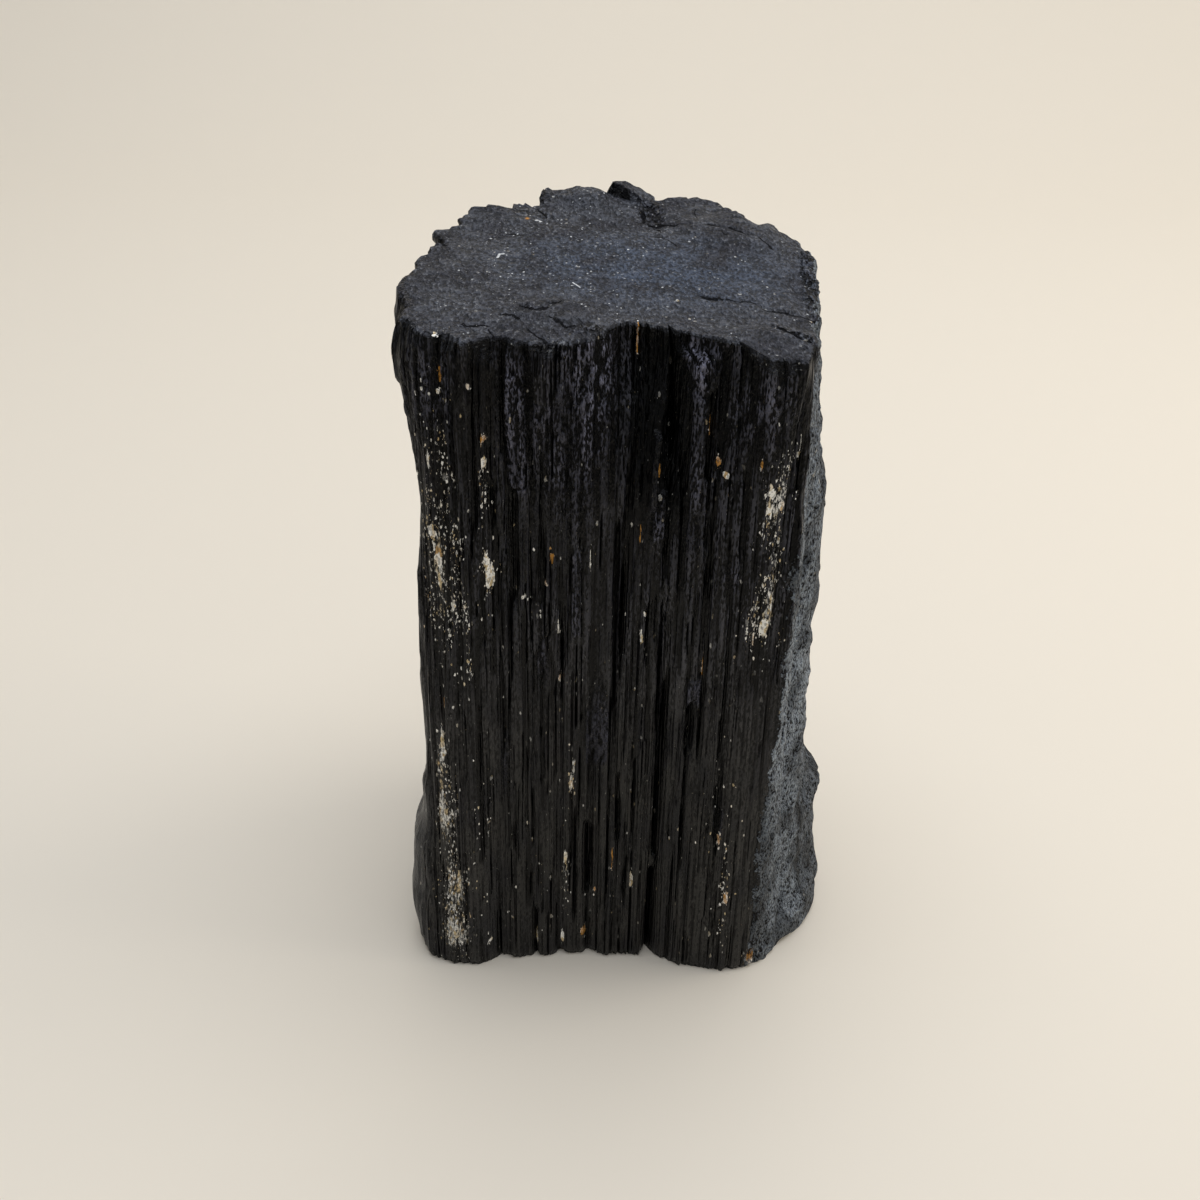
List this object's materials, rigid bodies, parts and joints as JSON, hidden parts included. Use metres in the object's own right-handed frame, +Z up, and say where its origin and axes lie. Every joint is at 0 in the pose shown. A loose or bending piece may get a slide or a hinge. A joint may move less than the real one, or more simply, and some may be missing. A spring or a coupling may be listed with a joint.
{
  "type": "tourmaline crystal",
  "caption": "Raw black tourmaline: a broken length of striated crystal column standing upright on its flat lower break.",
  "frame": {"origin": "middle of the bounding box, on the plane of the flat lower break that the column stands on", "axes": "+Z up along the column, -Y out of its broad striated front face, +X towards its rough broken side"},
  "size_m": [0.0918, 0.071, 0.1552],
  "materials": {
    "schorl": "glassy black with fine lengthwise striations, dull slate-grey on the upper break, pale mineral grains in the furrows"
  },
  "bodies": {
    "root": {"tourmaline_crystal": "schorl"}
  },
  "joints": []
}
